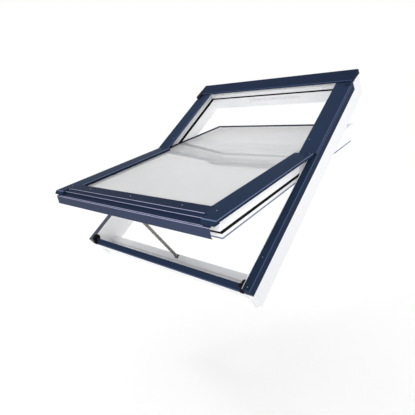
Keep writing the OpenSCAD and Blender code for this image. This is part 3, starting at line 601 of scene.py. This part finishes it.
# ---- Painted shade on the sash's edge ----
# A slim blue-grey strip along the lower outer corner of the sash bars on all four sides: painted
# shade along that edge.
painted_edge_shade = moulded("painted_edge_shade_grey", (0.17, 0.20, 0.30, 1), (0.23, 0.26, 0.37, 1), rough=0.4, shine=0.2)
edge_shade_w, edge_shade_t, edge_shade_out, edge_shade_round = 0.0055, 0.0009, -0.0773, 0.0003
edge_shade_x, edge_shade_low, edge_shade_high = 0.425, 0.035, 1.090
edge_shade_bars = [slab((edge_shade_t, edge_shade_high - edge_shade_low, edge_shade_w),
                 (side * (edge_shade_x + edge_shade_t / 2), (edge_shade_high + edge_shade_low) / 2, edge_shade_out)) for side in (-1, 1)]
edge_shade_bars += [slab((2 * edge_shade_x, edge_shade_t, edge_shade_w), (0, up + way * edge_shade_t / 2, edge_shade_out))
             for up, way in ((edge_shade_low, -1), (edge_shade_high, 1))]
sash_edge_shade = joined([applied(bevelled(bar, edge_shade_round)) for bar in edge_shade_bars], "sash_edge_shade")
painted(seated(sash_edge_shade, sash_frame), painted_edge_shade)
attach(sash_edge_shade, "sash")

# ---- Glass ----
# Sealed double unit: two float panes on a dark spacer bar, laid in the sash from outside and
# bedded on tape.
glass, glass_shader, place = finish("float_glass", 0.02, IOR=1.5, Transmission_Weight=0.62,
                                    Specular_IOR_Level=0.2)
smear = place.node("TexNoise", Vector=place, Scale=9.0, Detail=3.0)
feed(glass_shader, Base_Color=blend_colours(smear, (0.85, 0.86, 0.865, 1), (0.89, 0.895, 0.90, 1)),
     Roughness=0.01 + 0.02 * smear)
coat(["outer_pane", "inner_pane"], glass)
spacer_grey = moulded("spacer_grey", (0.05, 0.05, 0.055, 1), (0.08, 0.08, 0.085, 1), rough=0.4)
coat(["pane_spacer"], spacer_grey)

# ---- Edging of the glass ----
# Slim navy edging clipped round the upper half of the glass. Its upper right corner is white,
# like the bars beside it.
corner_x, corner_up, corner_white = 0.37, 1.02, (0.82, 0.825, 0.84, 1)
edging_paint = stove_paint("navy_edging_paint", *hood_painted_shade, shine=0.008)
edging_shader = edging_paint.node_tree.nodes["Principled BSDF"]
edging_navy = Wire(edging_paint.node_tree, edging_shader.inputs["Base Color"].links[0].from_socket)
edging_flat = flat_place(edging_navy.node("TexCoord", out="Object"), sash_frame)
right = edging_navy.math("GREATER_THAN", edging_flat["across"], corner_x)
upper = edging_navy.math("GREATER_THAN", edging_flat["up"], corner_up)
feed(edging_shader, Base_Color=blend_colours(right * upper, edging_navy, corner_white))
coat(["glass_edging"], edging_paint, sheet_edge)

# ---- Covers of the sash ----
# Folded sheet in the same dark blue, screwed over the lower half of the sash and its bottom. The
# bottom cover steps down in three folds to the drip front, which hangs in front of the sill. The
# bottom cover's blue is painted darker as painted shade and the drip front's lighter as painted
# light, and the thin light lines on the folds are painted highlights.
side_inner_x, side_outer_x, side_end, side_out = 0.3735, 0.4595, -0.015, 0.0116
side_folds = (("across", side_inner_x, "out", side_out), ("across", side_outer_x, "out", side_out),
              ("up", side_end, "out", side_out))
steps = (0.016, side_out), (-0.005, 0.0066), (-0.027, -0.005)
step_folds = [("up", up, "out", out) for up, out in steps]
drip_up, drip_out = -0.030, -0.008
navy_sash = stove_paint("navy_sash_paint", (0.013, 0.024, 0.053, 1), (0.019, 0.033, 0.067, 1),
                        shine=0.006, frame_of=sash_frame, folds=side_folds, fold_highlight=(0.13, 0.16, 0.27, 1))
# Darker blue of the bottom cover: painted shade.
navy_bottom_shaded = stove_paint("navy_bottom_shaded_paint", (0.011, 0.018, 0.042, 1), (0.016, 0.026, 0.055, 1),
                          shine=0.006, frame_of=sash_frame, folds=step_folds,
                          fold_highlight=(0.36, 0.36, 0.52, 1), fold_w=0.0020)
# Lighter blue of the drip front: painted light.
navy_front_lit = stove_paint("navy_drip_lit_paint", (0.034, 0.045, 0.086, 1), (0.044, 0.056, 0.100, 1),
                         shine=0.02, frame_of=sash_frame, folds=[("up", drip_up, "out", drip_out)],
                         fold_highlight=(0.42, 0.42, 0.58, 1), fold_w=0.0018)
coat(["sash_cover_left", "sash_cover_right"], navy_sash, sheet_edge)
coat(["sash_bottom_cover"], navy_bottom_shaded, sheet_edge)
coat(["drip_front"], navy_front_lit, sheet_edge)


# ---- Screws ----
# Small pan heads with a cross recess, plated with zinc. They hold the strips and covers down on
# the bars, and three stand in a row in the head's face.
screw_zinc = turned_steel("screw_zinc", (0.24, 0.27, 0.34, 1), (0.40, 0.43, 0.50, 1), rough=0.3)
pan_r, pan_h = 0.003, 0.0012


def screw_head(radius, height):
    """One head, standing on the origin along Z."""
    bpy.ops.object.select_all(action="DESELECT")
    bpy.ops.mesh.primitive_cylinder_add(vertices=28, radius=radius, depth=height,
                                        location=(0, 0, height / 2))
    head = bpy.context.object
    bpy.ops.object.transform_apply(location=True, rotation=True, scale=True)
    for corner in head.data.vertices:
        corner.select = corner.co.z > height / 2
    top_share = 0.8
    bpy.ops.object.mode_set(mode="EDIT")
    bpy.ops.mesh.select_mode(type="VERT")
    bpy.ops.transform.resize(value=(top_share, top_share, 1))
    bpy.ops.object.mode_set(mode="OBJECT")
    arm_l, arm_w, recess_up = 1.1 * radius, 0.24 * radius, 0.9 * height
    cutters = [slab((arm_l, arm_w, height), (0, 0, recess_up)),
               slab((arm_w, arm_l, height), (0, 0, recess_up))]
    for cutter in cutters:
        recess = head.modifiers.new("recess", "BOOLEAN")
        recess.object, recess.solver = cutter, "EXACT"
    applied(bevelled(head, 0.12 * height))
    for cutter in cutters:
        bpy.data.objects.remove(cutter)
    return head


def screws(name, radius, height, frame_of, places, turned):
    """Heads at places, (across, up, out); turned brings Z to the way that they face."""
    twist = 0.7
    heads = [seated(screw_head(radius, height), frame_of @ Matrix.Translation(place) @ turned
                    @ Matrix.Rotation(twist * i, 4, "Z")) for i, place in enumerate(places)]
    return painted(joined(heads, name), screw_zinc)


facing_out = Matrix()
facing_down = Matrix.Rotation(math.pi / 2, 4, "X")
strip_and_cover = ((0.4545, 0.012, 0), (0.4545, 0.130, 0), (0.4085, 0.702, cover_out))
frame_places = [(side * x, up, out) for side in (-1, 1) for x, up, out in strip_and_cover]
cladding_screws = screws("cladding_screws", pan_r, pan_h, roof_frame, frame_places, facing_out)
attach(cladding_screws, "frame")
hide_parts("frame_screws")

side_places = [(side * x, up, side_out)
               for x, up in ((0.4155, 0.042), (0.4455, 0.607)) for side in (-1, 1)]
bottom_places = [(x, 0.040, side_out) for x in (-0.272, 0, 0.272)]
sash_cover_screws = screws("sash_cover_screws", pan_r, pan_h, sash_frame,
                           side_places + bottom_places, facing_out)
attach(sash_cover_screws, "sash")
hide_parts("sash_screws")

small_r, small_h = 0.0026, 0.001
head_in, head_screw_out = 1.137, -0.026
head_cover_screws = screws("head_cover_screws", small_r, small_h, roof_frame,
                           [(x, head_in, head_screw_out) for x in (-0.2, 0.03, 0.2)], facing_down)
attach(head_cover_screws, "frame")
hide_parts("head_screws")

# ---- Hinges ----
# Friction hinges of pressed steel, painted white: a plate on each jamb and an arm on each side
# of the sash, held by small screws, and a bright steel pin through both.
hinge_white = moulded("hinge_white", (0.62, 0.625, 0.64, 1), (0.72, 0.725, 0.74, 1), rough=0.35)
coat(["hinge_plate_left", "hinge_plate_right", "hinge_arm_left", "hinge_arm_right"],
     hinge_white, pressed_edge)
coat(["pivot_pin_left", "pivot_pin_right"], bright_steel)
arm_r, arm_h = 0.0028, 0.001
arm_x, arm_out, arm_ups = 0.4304, -0.026, (0.553, 0.580, 0.600, 0.660, 0.695)
for side, label in ((-1, "left"), (1, "right")):
    arm_screws = screws("hinge_screws_" + label, arm_r, arm_h, sash_frame,
                        [(side * arm_x, up, arm_out) for up in arm_ups],
                        Matrix.Rotation(side * math.pi / 2, 4, "Y"))
    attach(arm_screws, "sash")
